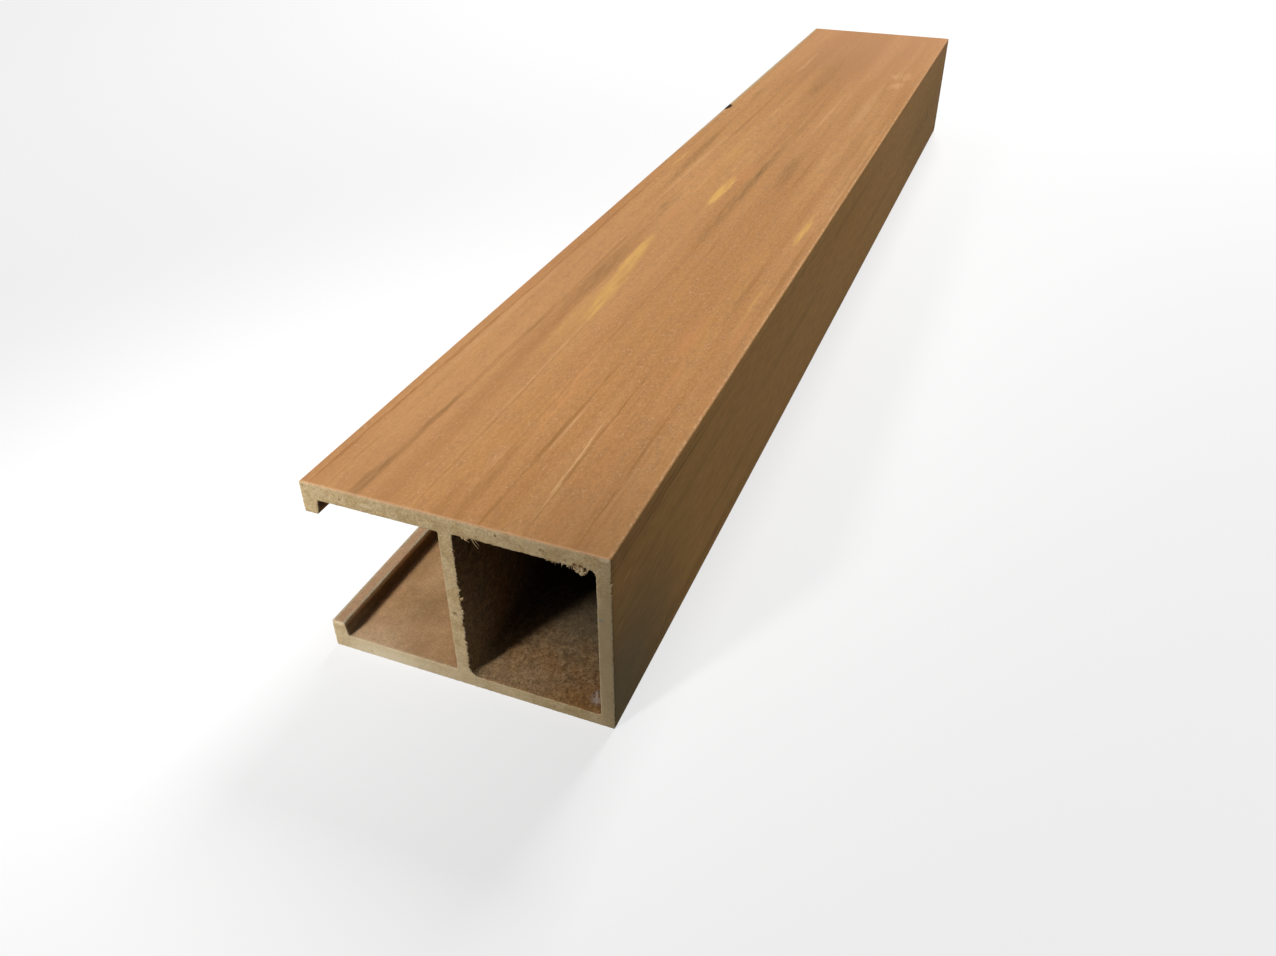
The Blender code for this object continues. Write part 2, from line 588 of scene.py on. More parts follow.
def wood_skin(name):
    """The streaked skin, ready for marks, and the colour so far."""
    skin = Finish(name, roughness=0.6, gloss=0.014)
    wavy = skin.wavy_ruler((14, 90, 14), (3.0, 0, 3.0), seed=5.3)
    bands = skin.noise((9, 230, 9), seed=3.1, ruler=wavy)
    plates = skin.noise((5.5, 170, 5.5), seed=41.7, detail=1, ruler=wavy)
    rosy = skin.noise((8, 60, 8), seed=12.4, ruler=wavy)
    golden = skin.noise((9, 100, 9), seed=27.9, ruler=wavy)
    streaks = skin.noise((1.4, 90, 1.4), seed=7.7, detail=3, rough=0.6, ruler=wavy)
    hairs = skin.noise((0.35, 30, 0.35), seed=21.3, detail=1, ruler=wavy)
    blotches = skin.noise((2.2, 8, 2.2), seed=47.3, detail=3, rough=0.65)
    mottle = skin.noise((0.9, 2.4, 0.9), seed=55.6, detail=4, rough=0.7)
    speckle = skin.noise((0.50, 0.85, 0.50), seed=31.9, detail=3, rough=0.75)
    flecks = skin.noise((0.48, 0.9, 0.48), seed=63.2, detail=1)

    colour = skin.blend(skin.fade(bands, 0.36, 0.64), SKIN_DEEP, SKIN_LIGHT)
    colour = skin.blend(skin.fade(plates, 0.49, 0.53) * 0.25, colour, SKIN_DEEP)
    colour = skin.blend(skin.fade(rosy, 0.50, 0.72) * 0.35, colour, SKIN_ROSY)
    colour = skin.blend(skin.fade(golden, 0.52, 0.74) * 0.2, colour, SKIN_GOLDEN)
    colour = skin.blend(skin.fade(blotches, 0.46, 0.66) * 0.45, colour, SKIN_DULL)
    colour = skin.tone(colour, 0.92 + 0.16 * skin.fade(mottle, 0.3, 0.7))
    colour = skin.tone(colour, 0.97 + 0.06 * skin.fade(streaks, 0.36, 0.64))
    colour = skin.tone(colour, 0.975 + 0.05 * skin.fade(hairs, 0.3, 0.7))
    colour = skin.tone(colour, 0.91 + 0.18 * skin.fade(speckle, 0.3, 0.7))
    clusters = 0.20 + 0.45 * skin.fade(blotches, 0.42, 0.62)
    colour = skin.blend(skin.fade(flecks, 0.60, 0.72) * clusters, colour, FLECK)
    skin.relief((hairs, 0.02), (speckle, 0.05))
    skin.roughness(0.52 + 0.18 * speckle)
    return skin, colour


skin, figure = wood_skin("wood_grain_skin")
print("the outer skin has", len(skin.tree.nodes), "nodes")

# %% [markdown]
# ## The marks that make it this slat
#
# Noise gives a typical piece, but a real offcut has streaks of its own. Each is a long thin ellipsoid
# on the skin: where its middle is, how wide and long it is, how strong, and for some also how far it
# drifts across for each millimetre along. The ruler under them is made wavy first, so that their edges
# feather with the grain.

# %% Streaks of the upper side
# Each row is across, along, half the width, half the length, the strength, and the drift if any.
STREAK_GREY = paint(134, 100, 60)
STREAK_BROWN = paint(156, 112, 66)
STREAK_RED = paint(158, 106, 58)
STREAK_ROSY = paint(203, 141, 92)
STREAK_GOLD = paint(220, 172, 98)
STREAK_PALE = paint(216, 170, 120)

GREY_STREAKS = (
    (13.9, 3, 2.1, 20, 0.62, 0.05),
    (14.5, 22, 1.3, 30, 0.35, 0.02),
    (14.8, 38, 1.0, 14, 0.52, 0.02),
    (15.5, 88, 1.1, 14, 0.35, 0.02),
    (18.4, 124, 3.4, 34, 0.4, 0.01),
    (17.6, 186, 2.4, 18, 0.32, -0.01),
    (38.9, 206, 2.6, 78, 0.4),
    (39.0, 222, 1.2, 28, 0.3),
    (48.6, 236, 3.4, 28, 0.32, -0.06),
    (9.4, 248, 2.2, 52, 0.4, -0.02),
    (31.0, 357, 2.8, 18, 0.25),
    (7.2, 335, 2.0, 16, 0.3),
)
BROWN_STREAKS = (
    (15.2, 60, 1.0, 90, 0.5, 0.005),
    (18.8, 110, 3.8, 90, 0.45),
    (15.2, 152, 0.7, 40, 0.55),
    (6.9, 12, 0.5, 20, 0.5),
    (7.0, 48, 0.5, 24, 0.35),
    (28.7, 40, 0.5, 70, 0.5),
    (34.4, 4, 1.5, 18, 0.5),
    (39.4, 10, 1.8, 34, 0.45),
    (38.2, 70, 0.5, 80, 0.45, 0.005),
    (45.2, 22, 0.55, 70, 0.85, 0.018),
    (55.0, 30, 0.55, 66, 0.65),
    (67.0, 20, 0.5, 46, 0.6),
    (64.5, 125, 1.0, 30, 0.4),
    (72.2, 146, 0.9, 40, 0.45),
    (54.6, 235, 0.9, 30, 0.35),
    (44.6, 150, 0.7, 32, 0.35, 0.01),
    (40.0, 270, 2.5, 60, 0.3, 0.02),
    (15.6, 300, 1.0, 60, 0.45, 0.01),
    (67.5, 275, 1.0, 26, 0.35),
    (30.0, 372, 5.0, 60, 0.3),
    (30.0, 440, 22.0, 110, 0.4),
)
RED_STREAKS = (
    (2.5, 14, 0.5, 50, 0.7, 0.010),
    (3.1, 60, 0.6, 90, 0.75, 0.010),
    (3.8, 170, 0.7, 70, 0.6),
)
ROSY_STREAKS = (
    (58.6, 95, 3.2, 18, 0.45),
    (61.5, 75, 1.4, 12, 0.4),
    (70.5, 103, 1.6, 14, 0.5),
    (22.4, 181, 2.4, 16, 0.6),
    (35.0, 228, 2.4, 16, 0.5),
    (1.4, 100, 0.9, 14, 0.6),
)
GOLD_STREAKS = (
    (24.8, 128, 3.0, 40, 0.7, -0.06),
    (23.0, 141, 1.6, 18, 0.75),
    (24.5, 100, 4.4, 34, 0.26),
    (27.8, 112, 0.9, 24, 0.5),
    (31.3, 207, 2.6, 18, 0.95, 0.01),
    (68.6, 179, 1.3, 18, 0.95),
    (68.6, 122, 0.8, 30, 0.3),
    (5.0, 236, 1.2, 14, 0.35, 0.02),
    (23.5, 250, 3.5, 20, 0.14),
)
PALE_STREAKS = (
    (54.2, 26, 0.4, 24, 0.9, -0.025),
    (46.6, 42, 0.5, 16, 0.5, 0.030),
    (28.2, 66, 0.5, 40, 0.45, -0.004),
    (68.0, 30, 0.5, 30, 0.3),
    (36.8, 22, 1.3, 14, 0.25),
    (5.0, 92, 1.3, 50, 0.45),
    (13.2, 235, 1.2, 50, 0.4, 0.01),
    (15.0, 398, 1.4, 28, 0.5, 0.02),
    (45.8, 318, 1.2, 40, 0.4),
    (59.5, 330, 2.5, 50, 0.3),
    # The next row is a painted highlight along the arris beside the face side.
    (72.6, 250, 0.8, 90, 0.45),
    (65.0, 372, 4.2, 9, 0.6, 0.1),
    (62.3, 390, 3.2, 9, 0.6),
    (67.3, 391, 3.2, 10, 0.6),
)
SKIN_DEPTH = 2.5

feathered = skin.wavy_ruler((0.9, 14, 0.9), (1.5, 20, 1.5), seed=50.5)
gaps = skin.noise((0.7, 9, 0.7), seed=80.8, detail=3, rough=0.7)
broken = 0.45 + 0.75 * skin.fade(gaps, 0.35, 0.65)


def top_streak(across, along, half_width, half_length, strength, lean=0):
    """One streak on the upper side, as strong in its middle as `strength`."""
    reach = (half_width, half_length, SKIN_DEPTH)
    return skin.spot((across, along, TOP), reach, lean, ruler=feathered) * strength


def lay_streaks(colour, streaks, streak_colour):
    """Lays all the streaks of one colour on the upper side."""
    everywhere = sum(top_streak(*streak) for streak in streaks)
    return skin.blend(everywhere * broken, colour, streak_colour)


figure = lay_streaks(figure, BROWN_STREAKS, STREAK_BROWN)
figure = lay_streaks(figure, ROSY_STREAKS, STREAK_ROSY)
figure = lay_streaks(figure, RED_STREAKS, STREAK_RED)
figure = lay_streaks(figure, GREY_STREAKS, STREAK_GREY)
figure = lay_streaks(figure, GOLD_STREAKS, STREAK_GOLD)
figure = lay_streaks(figure, PALE_STREAKS, STREAK_PALE)
print("the upper side has", len(GREY_STREAKS + BROWN_STREAKS + RED_STREAKS), "dark streaks")

# %% [markdown]
# ## The face side
#
# The side that looks into the room gets a lighter, yellower copy of the skin, which is painted light
# that lifts this shaded side, and darker streaks. Its upper arris gets a painted highlight, a bright
# line with pale specks. The same long ellipsoids make the streaks, but the first number of each is now
# how far up it lies; the widest of them darken the side towards the far end, and one is painted shadow
# over the near end. A grey spot low on the near end is painted shade too. A mask that is 1 on this side
# alone keeps them off the others.

# %% Streaks, painted light and painted shade of the face side
# The first two colours make a lighter, yellower copy of the skin for the face side, which is painted
# light.
SIDE_SKIN_PAINTED_LIGHT = paint(209, 163, 98)
SIDE_DULL_PAINTED_LIGHT = paint(190, 147, 84)
SIDE_DARK = paint(116, 90, 46)
SIDE_GREY_SHADE = paint(102, 98, 78)
ARRIS_HIGHLIGHT = paint(226, 180, 134)

SIDE_STREAKS = (
    (47.2, 30, 0.7, 80, 0.5),
    (45.4, 40, 0.6, 60, 0.45),
    (43.6, 26, 0.35, 50, 0.4),
    (38.4, 60, 0.4, 50, 0.3),
    (45.6, 34, 1.6, 60, 0.34),
    (46.2, 150, 1.4, 80, 0.28),
    (36.0, 56, 2.2, 56, 0.26),
    (30.0, 20, 1.1, 40, 0.2),
    (28.0, 150, 2.6, 66, 0.22),
    (14.0, 90, 2.2, 50, 0.26),
    (40.0, 232, 1.8, 70, 0.22),
    (18.0, 300, 3.4, 90, 0.24),
    (22.0, 405, 8.0, 70, 0.26),
    # The next row darkens the side towards the far end, and the one after it is painted shadow over the
    # whole near end.
    (10.0, 474, 70.0, 170, 0.48),
    (22.0, -6, 60.0, 70, 0.4),
    (4.0, 60, 3.0, 90, 0.34),
    (25.0, 479, 60.0, 7, 0.8),
    (4.0, 480, 5.0, 10, 0.9),
)

across_skin = skin.node("ShaderNodeSeparateXYZ", {}, {0: skin.ruler}, "X")
face_side = skin.fade(across_skin, 74.78, 74.92)
# The upper arris of the face side gets a painted highlight, broken by pale specks.
arris_highlight_mask = skin.fade(across_skin, 73.9, 74.6) * (1 - face_side)
arris_specks = skin.fade(skin.noise((0.5, 1.2, 0.5), seed=17.7, detail=1), 0.5, 0.62)
side_grain = skin.noise((1.3, 9, 1.3), seed=91.3, detail=4, rough=0.7)
# A lighter, yellower copy of the skin for the face side: painted light that lifts this shaded side. Its
# grain is the skin's own.
side_painted_light = skin.blend(skin.fade(side_grain, 0.35, 0.65), SIDE_DULL_PAINTED_LIGHT, SIDE_SKIN_PAINTED_LIGHT)
figure = skin.blend(arris_highlight_mask * (0.2 + 0.6 * arris_specks), figure, ARRIS_HIGHLIGHT)
figure = skin.blend(face_side * 0.7, figure, side_painted_light)
for up, along, half_height, half_length, strength in SIDE_STREAKS:
    reach = (1, half_length, half_height)
    streak_or_shade = skin.spot((FACE_SIDE, along, up), reach, edge=0.9, ruler=feathered) * strength
    figure = skin.blend(streak_or_shade * face_side * broken, figure, SIDE_DARK)
# Painted shade, grey and dark, low on the side at the near end.
figure = skin.stain(figure, SIDE_GREY_SHADE, 0.8, (FACE_SIDE, 0, 8), (4, 60, 40), edge=1)
figure = skin.stain(figure, FLECK, 0.6, (FACE_SIDE, 8.6, 39.2), (1, 3.4, 0.35))
print("the face side has", len(SIDE_STREAKS), "streaks")

# %% [markdown]
# ## Handling marks
#
# An offcut's arris gets worn khaki and nicked, and the sawn corner is rubbed pale. The upper side also
# gets a few wide soft spots of painted light and shade: a pinker cast over the far part that stands in
# for a sheen, painted shadow over the near corner beside the face side, and painted shade over the
# channel side near the end and in the middle. The nick is painted dark for the shade inside it. The
# rubbed corner uses the wear that was stored on the mesh.

# %% Painted light and shade, nick and rubbed corner
NEAR_CORNER_SHADOW = paint(134, 100, 66)
BROWN_PAINTED_SHADE = paint(160, 117, 80)
FAR_PAINTED_SHEEN = paint(188, 138, 99)
KHAKI = paint(188, 172, 140)
NICK_SHADE = paint(50, 36, 20)
RUBBED = paint(216, 174, 134)
RUBBED_SIDE = paint(172, 152, 116)

# Painted light and shade: a pinker cast over the far part stands in for a sheen, the next spot is
# painted shadow over the near corner beside the face side, and the two brown spots are painted shade
# over the channel side, near the end and in the middle.
figure = skin.stain(figure, FAR_PAINTED_SHEEN, 0.55, (40, 500, TOP), (90, 190, 9), edge=0.8)
figure = skin.stain(figure, NEAR_CORNER_SHADOW, 0.45, (72, -5, TOP), (42, 70, 9), edge=1)
figure = skin.stain(figure, BROWN_PAINTED_SHADE, 0.5, (6, -4, TOP), (52, 120, 9), edge=1)
figure = skin.stain(figure, BROWN_PAINTED_SHADE, 0.42, (4, 112, TOP), (60, 125, 9), edge=1)
worn_arris = skin.spot((0, 390, TOP), (1.8, 190, 2.5), edge=0.5)
figure = skin.blend(worn_arris * broken, figure, KHAKI)
# The nick is only painted: its dark colour stands in for the shade inside it.
nick_shade_mask = skin.spot((0.1, 310.5, TOP), (2.5, 5.5, 2.8), lean=0.1, edge=0.3)
figure = skin.blend(nick_shade_mask, figure, NICK_SHADE)
rubbed = skin.blend(face_side, RUBBED, RUBBED_SIDE)
figure = skin.blend(skin.worn() * 0.5, figure, rubbed)
skin.colour(figure)
print("with its marks the outer skin has", len(skin.tree.nodes), "nodes")

# %% [markdown]
# ## Inside the channel
#
# The channel is made by the same die, so its lining is the same plastic, but nobody looks at it and it
# has no figure: it is smoother, pinker and clouded. Soft clouds a little longer than wide do it.

# %% Channel lining
CHANNEL_TAN = paint(190, 154, 113)
CHANNEL_BROWN = paint(171, 135, 95)
CHANNEL_ROSY = paint(196, 154, 114)
CHANNEL_OLIVE = paint(120, 98, 62)
CHANNEL_DUST = paint(222, 194, 160)
LIP_PAINTED_SHADE = paint(62, 54, 42)
LIP_DUST = paint(150, 136, 110)
LIP_KHAKI = paint(174, 162, 134)
LIP_ROSY = paint(174, 140, 110)
ENDLESS = 3000


def channel_lining():
    lining = Finish("channel_lining", roughness=0.7)
    clouds = lining.noise((6, 9, 6), seed=2.2, detail=2)
    mottle = lining.noise((1.4, 2.2, 1.4), seed=37.1, detail=3, rough=0.6)
    rosy = lining.noise((4, 9, 4), seed=19.4, detail=2)
    speckle = lining.noise((0.5, 0.7, 0.5), seed=8.8, detail=2, rough=0.7)
    uneven = lining.wavy_ruler((2.5, 4, 2.5), (5, 9, 0), seed=14.1)
    colour = lining.blend(lining.fade(clouds, 0.32, 0.68), CHANNEL_TAN, CHANNEL_BROWN)
    colour = lining.blend(lining.fade(rosy, 0.45, 0.65) * 0.4, colour, CHANNEL_ROSY)
    for across, along, strength in ((17, 16, 0.40), (31, 60, 0.35)):
        place = (across, along, CHAMBER_FLOOR)
        colour = lining.stain(colour, CHANNEL_OLIVE, strength, place, (10, 13, 4), edge=1, ruler=uneven)
    colour = lining.stain(colour, CHANNEL_DUST, 0.5, (10, -1, CHAMBER_FLOOR), (19, 14, 3), edge=0.9)

    colour = lining.stain(colour, LIP_ROSY, 0.8, (2, HALF_WAY, 8.3), (2.6, ENDLESS, 1.2), edge=0.4)
    # Painted shade: the inner side of the lower lip, with a strip of floor at its foot, and the
    # underside of the roof flange near the mouth are darkened.
    lip_inner_shade = lining.spot((4.0, HALF_WAY, 5.4), (1.9, ENDLESS, 2.6))
    under_roof_shade = lining.spot((2.6, HALF_WAY, TOP), (9, ENDLESS, 9), edge=0.3)
    colour = lining.blend(lip_inner_shade.at_least(under_roof_shade) * 0.85, colour, LIP_PAINTED_SHADE)
    colour = lining.stain(colour, LIP_DUST, 0.5, (3.8, 0, 5.4), (1.6, 15, 2.6), edge=0.8)
    # Pale khaki wear along both edges of the lip's top; on the inner edge it is also a painted
    # highlight.
    outer_edge = lining.spot((0, HALF_WAY, 8.1), (1.1, ENDLESS, 1.1))
    inner_edge_wear_and_highlight = lining.spot((3.7, HALF_WAY, 8.1), (1.1, ENDLESS, 1.2))
    edges = outer_edge.at_least(inner_edge_wear_and_highlight) * lining.fade(clouds, 0.25, 0.5)
    colour = lining.blend(edges * 0.9, colour, LIP_KHAKI)
    colour = lining.blend(lining.worn() * 0.6, colour, LIP_KHAKI)
    colour = lining.tone(colour, 0.94 + 0.12 * lining.fade(mottle, 0.3, 0.7))
    lining.colour(lining.tone(colour, 0.86 + 0.28 * lining.fade(speckle, 0.3, 0.7)))
    lining.relief((speckle, 0.03), (mottle, 0.01))
    return lining


lining = channel_lining()
print("the channel's lining has", len(lining.tree.nodes), "nodes")

# %% [markdown]
# ## Inside the chamber
#
# No skin is laid on the chamber's walls. They show the raw composite: burnt brown, mottled with tan wood
# flour and rough. They are painted darker as painted shade of the deep hollow, from 8 mm in from each
# end and fully from 46 mm, and the web's wall is painted darker away from its front. A band of floor
# along the web's foot is painted shadow. Sawdust has settled on the floor and the web just inside the
# near end and makes them lighter there. A whitish scuff lies on the floor near the end.

# %% Raw chamber wall
RAW_BROWN = paint(128, 99, 68)
RAW_TAN = paint(172, 140, 102)
RAW_ORANGE = paint(158, 116, 70)
RAW_GREY = paint(124, 112, 88)
RAW_BLACK = paint(48, 38, 26)
RAW_PAINTED_SHADE = paint(50, 40, 29)
SCUFF = paint(222, 218, 216)
SHADE_START = 8
FULL_SHADE_FROM = 46


def raw_chamber():
    raw = Finish("raw_chamber_wall", roughness=0.85)
    mottle = raw.noise((1.5, 2.0, 1.5), seed=4.4, detail=4, rough=0.7)
    patches = raw.noise((5, 7, 5), seed=6.1, detail=3)
    pores = raw.noise((0.45, 0.6, 0.45), seed=14.9, detail=2, rough=0.7)
    specks = raw.noise((0.5, 0.9, 0.5), seed=33.5, detail=2)
    uneven = raw.wavy_ruler((2.0, 3.0, 2.0), (6, 9, 3), seed=77.7)
    greyer = raw.spot((60, 34, CHAMBER_FLOOR), (36, 26, 20), edge=0.8, ruler=uneven)
    specked = raw.spot((69, 13, CHAMBER_FLOOR), (9, 15, 8), edge=0.8, ruler=uneven)
    web_front = raw.spot((CHAMBER_LEFT, 0, 10), (6, 22, 30), edge=0.8)
    scuff = raw.spot((69.0, 4.8, CHAMBER_FLOOR), (2.4, 3.2, 3.0), edge=0.8)
    sawdust = raw.spot((48, 2, CHAMBER_FLOOR), (16, 12, 3), edge=0.9, ruler=uneven)
    scratches = raw.noise((0.5, 2.0, 0.5), seed=51.9, detail=2, rough=0.7)

    colour = raw.blend(raw.fade(mottle, 0.34, 0.70) * 0.8, RAW_BROWN, RAW_TAN)
    colour = raw.blend(raw.fade(patches, 0.42, 0.62) * 0.45, colour, RAW_ORANGE)
    place = (69, -1, CHAMBER_FLOOR)
    colour = raw.stain(colour, RAW_ORANGE, 0.7, place, (13, 13, 12), edge=0.7, ruler=uneven)
    colour = raw.blend(greyer.at_least(web_front) * 0.75, colour, RAW_GREY)
    # Painted shade of the deep hollow: darker from 8 mm in from each end, fully from 46 mm, and darker
    # on the web's wall away from its front.
    along = raw.node("ShaderNodeSeparateXYZ", {}, {0: raw.ruler}, "Y")
    from_middle = (along - HALF_WAY).at_least(HALF_WAY - along)
    deep_shade = raw.fade(from_middle, HALF_WAY - SHADE_START, HALF_WAY - FULL_SHADE_FROM)
    colour = raw.blend(deep_shade, colour, RAW_PAINTED_SHADE)
    web_wall_shade = raw.spot((CHAMBER_LEFT, HALF_WAY, 26), (2, ENDLESS, 60), edge=0.3)
    colour = raw.blend(web_wall_shade * (1 - web_front) * 0.5, colour, RAW_PAINTED_SHADE)
    # Painted shadow on the floor, in a band along the web's foot.
    place = (CHAMBER_LEFT + 0.5, 24, CHAMBER_FLOOR)
    colour = raw.stain(colour, RAW_PAINTED_SHADE, 0.6, place, (11, 21, 4), edge=0.9)
    web_dust = raw.spot((CHAMBER_LEFT, 0, 14), (3, 9, 26), edge=0.9)
    colour = raw.blend((sawdust * 0.6).at_least(web_dust * 0.5), colour, RAW_TAN)
    colour = raw.tone(colour, 0.68 + 0.64 * raw.fade(pores, 0.28, 0.72))
    colour = raw.tone(colour, 0.94 + 0.22 * raw.fade(mottle, 0.3, 0.7))
    colour = raw.blend(raw.fade(specks, 0.56, 0.68) * (0.35 + 0.6 * specked), colour, RAW_BLACK)
    raw.colour(raw.blend(scuff * raw.fade(scratches, 0.36, 0.66) * 0.7, colour, SCUFF))
    raw.relief((mottle, 0.09), (pores, 0.08))
    return raw


raw = raw_chamber()
print("the chamber's finish has", len(raw.tree.nodes), "nodes")

# %% [markdown]
# ## The cut composite
#
# The saw shows what the slat is made of: khaki wood flour in plastic, like very fine sandpaper, with a
# few rusty and pale grains. It is almost one colour, so the noise stays faint. The pits are painted dark
# brown, partly their own colour and partly painted shade in the hollows; the part of each end towards
# the face side is painted darker as painted shade; and the rim is pale, because torn plastic scatters
# more light.

# %% Sawn face
SAWN = paint(188, 166, 128)
SAWN_DEEP = paint(174, 150, 110)
SAWN_RUST = paint(186, 142, 98)
SAWN_PALE = paint(214, 196, 160)
SAWN_GREY = paint(196, 181, 152)
SAWN_DUST = paint(216, 202, 172)
SAWN_SHADE = paint(152, 134, 104)
RIM_PALE = paint(222, 204, 170)
RIM_PINK = paint(220, 176, 138)
PIT_BROWN_AND_SHADE = paint(96, 64, 36)
STAIN_BLUE = paint(120, 122, 124)
BOTH_ENDS = 900
NEAR_ONLY = 4


def sawn_face():
    sawn = Finish("sawn_composite", roughness=0.85)
    clouds = sawn.noise((3, 3, 3), seed=5.5, detail=3)
    grit = sawn.noise((0.50, 0.50, 0.50), seed=9.3, detail=3, rough=0.8)
    rust = sawn.noise((0.55, 0.55, 0.55), seed=17.2, detail=2)
    pale = sawn.noise((0.5, 0.5, 0.5), seed=28.8, detail=2)
    wear = sawn.noise((0.7, 0.7, 0.7), seed=3.9, detail=2)
    uneven = sawn.wavy_ruler((0.5, 0.5, 0.5), (0.5, 0, 0.5), seed=71.1)

    colour = sawn.blend(sawn.fade(clouds, 0.38, 0.64), SAWN, SAWN_DEEP)
    colour = sawn.blend(sawn.fade(rust, 0.58, 0.72) * 0.45, colour, SAWN_RUST)
    colour = sawn.blend(sawn.fade(pale, 0.60, 0.74) * 0.5, colour, SAWN_PALE)
    colour = sawn.tone(colour, 0.75 + 0.48 * sawn.fade(grit, 0.28, 0.72))
    colour = sawn.stain(colour, SAWN_GREY, 0.5, (20, 0, -4), (60, BOTH_ENDS, 22), edge=1)
    colour = sawn.stain(colour, SAWN_DUST, 0.6, (15, 0, 1), (15, BOTH_ENDS, 5), edge=0.9)
    # Painted shade over the face-side part of both sawn ends.
    colour = sawn.stain(colour, SAWN_SHADE, 0.75, (FACE_SIDE, 0, 22), (6, BOTH_ENDS, 34))
    # The pits are painted dark brown, partly their own colour and partly painted shade in the hollows.
    for pit in PITS:
        reach = (pit.radius * 1.7, NEAR_ONLY, pit.radius * 1.7)
        colour = sawn.stain(colour, PIT_BROWN_AND_SHADE, pit.dark, (pit.across, 0, pit.up), reach, ruler=uneven)
    colour = sawn.stain(colour, STAIN_BLUE, 0.5, (72.4, 0, 32.8), (0.9, NEAR_ONLY, 0.7), ruler=uneven)
    colour = sawn.stain(colour, SAWN_PALE, 0.5, (16.8, 0, 47.6), (2.2, NEAR_ONLY, 0.7), ruler=uneven)
    worn_lip = sawn.spot((2.0, 0, 8.1), (2.8, NEAR_ONLY, 1.5), ruler=uneven)
    worn_corner = sawn.spot((73.8, 0, 49.6), (1.6, NEAR_ONLY, 0.9))
    colour = sawn.blend(worn_lip.at_least(worn_corner) * 0.5, colour, RIM_PALE)
    colour = sawn.stain(colour, RIM_PALE, 0.2, (68.3, 0, 44.4), (2.2, NEAR_ONLY, 1.6), ruler=uneven)

    height = sawn.node("ShaderNodeSeparateXYZ", {}, {0: sawn.ruler}, "Z")
    rim_colour = sawn.blend(sawn.fade(height, TOP - 1, TOP - 0.3), RIM_PALE, RIM_PINK)
    colour = sawn.blend(sawn.worn() * sawn.fade(wear, 0.3, 0.6) * 0.75, colour, rim_colour)
    sawn.colour(colour)
    sawn.relief((grit, 0.10), (clouds, 0.03))
    return sawn


sawn = sawn_face()
finishes = [skin, lining, raw, sawn]
print("finishes:", [finish.material.name for finish in finishes])

# %% [markdown]
# ## Which face gets which finish
#
# The four finishes are material slots on one mesh. A face's place in the section says which one it
# gets, and a face that points along the length is sawn. The narrow worn band at the arris tilts away
# from the end, so it is found by its place.

# %% Hand out the finishes
OUTER, LINING, RAW, CUT = range(4)
WEB_SIDE = 34.8
ARRIS_BAND = 0.05
SHARP_FROM = 40


def finish_of(face):
    """The slot of a face, from its place in the section."""
    across, along, up = off_slat(face.calc_center_median())
    if min(along, LENGTH / MM - along) < ARRIS_BAND or abs(face.normal.y) > 0.5:
        return CUT
    if in_chamber(across, up):
        return RAW
    outermost = across < 0.6 and face.normal.x < -0.9
    if across < WEB_SIDE and CHAMBER_FLOOR < up < CHAMBER_ROOF and not outermost:
        return LINING
    return OUTER


slat.normal_update()
for face in slat.faces:
    face.material_index = finish_of(face)
    face.smooth = True


def make_piece(mesh, name, materials):
    """Turns a finished bmesh into an object that moves with the part."""
    data = bpy.data.meshes.new(name)
    mesh.to_mesh(data)
    mesh.free()
    data.set_sharp_from_angle(angle=math.radians(SHARP_FROM))
    for material in materials:
        data.materials.append(material)
    piece = bpy.data.objects.new(name, data)
    bpy.context.scene.collection.objects.link(piece)
    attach(piece, "root")
    return piece


slat_piece = make_piece(slat, "slat_with_grain", [finish.material for finish in finishes])
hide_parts("ceiling_slat")
print("slat mesh:", len(slat_piece.data.polygons), "faces")

# %% [markdown]
# ## Crumbs
#
# Torn bits still cling to the sawn edges. Each starts as a small icosphere, the roundest shape with even
# faces, and noise dents it. They are sunk a little into the edge that holds them. The larger ones are
# listed one by one, and a row of tiny ones follows the rough part of the roof.

# %% Crumbs on the torn edges
CRUMBS = (
    (40.9, 0.05, 45.75, 0.32),
    (41.6, 0.1, 45.6, 0.36),
    (42.1, 0.1, 45.8, 0.24),
    (38.3, 0.1, 30.1, 0.3),
    (38.5, 0.35, 27.4, 0.42),
    (38.4, 0.15, 23.9, 0.34),
    (38.4, 0.15, 23.2, 0.3),
    (38.3, 0.1, 14.1, 0.24),
    (66.9, 0.1, 45.3, 0.36),
    (67.6, 0.15, 44.75, 0.46),
    (68.3, 0.15, 44.3, 0.44),
    (68.8, 0.2, 44.45, 0.38),
    (69.4, 0.1, 45.0, 0.34),
    (74.9, 0.1, 43.25, 0.34),
    (74.9, 0.1, 42.7, 0.22),
    (75.0, 0.1, 40.5, 0.18),
)
SMALL_CRUMBS = 26
DENTS = 0.45


def add_crumb(mesh, place, radius, seed):
    """One dented crumb, `radius` millimetres or so in size."""
    ball = bmesh.ops.create_icosphere(mesh, subdivisions=2, radius=radius * MM)["verts"]
    for point in ball:
        way_out = point.co.normalized()
        dent = noise.noise(way_out * 1.7 + Vector((seed, seed / 3, 0)))
        point.co *= 1 + DENTS * dent
    bmesh.ops.translate(mesh, verts=ball, vec=place)


crumbs = bmesh.new()
for seed, (across, along, up, radius) in enumerate(CRUMBS):
    add_crumb(crumbs, on_slat(across, along, up), radius, seed * 3.7)
draw = random.Random(12)
for count in range(SMALL_CRUMBS):
    across = draw.uniform(60.5, 70)
    up = CHAMBER_ROOF - burr_height(across, CHAMBER_ROOF, 3) + draw.uniform(-0.05, 0.15)
    add_crumb(crumbs, on_slat(across, draw.uniform(0, 0.3), up), draw.uniform(0.09, 0.2), count * 5.1)
for face in crumbs.faces:
    face.smooth = True
print("crumbs:", len(CRUMBS) + SMALL_CRUMBS, "in", len(crumbs.faces), "faces")
make_piece(crumbs, "saw_crumbs", [sawn.material])

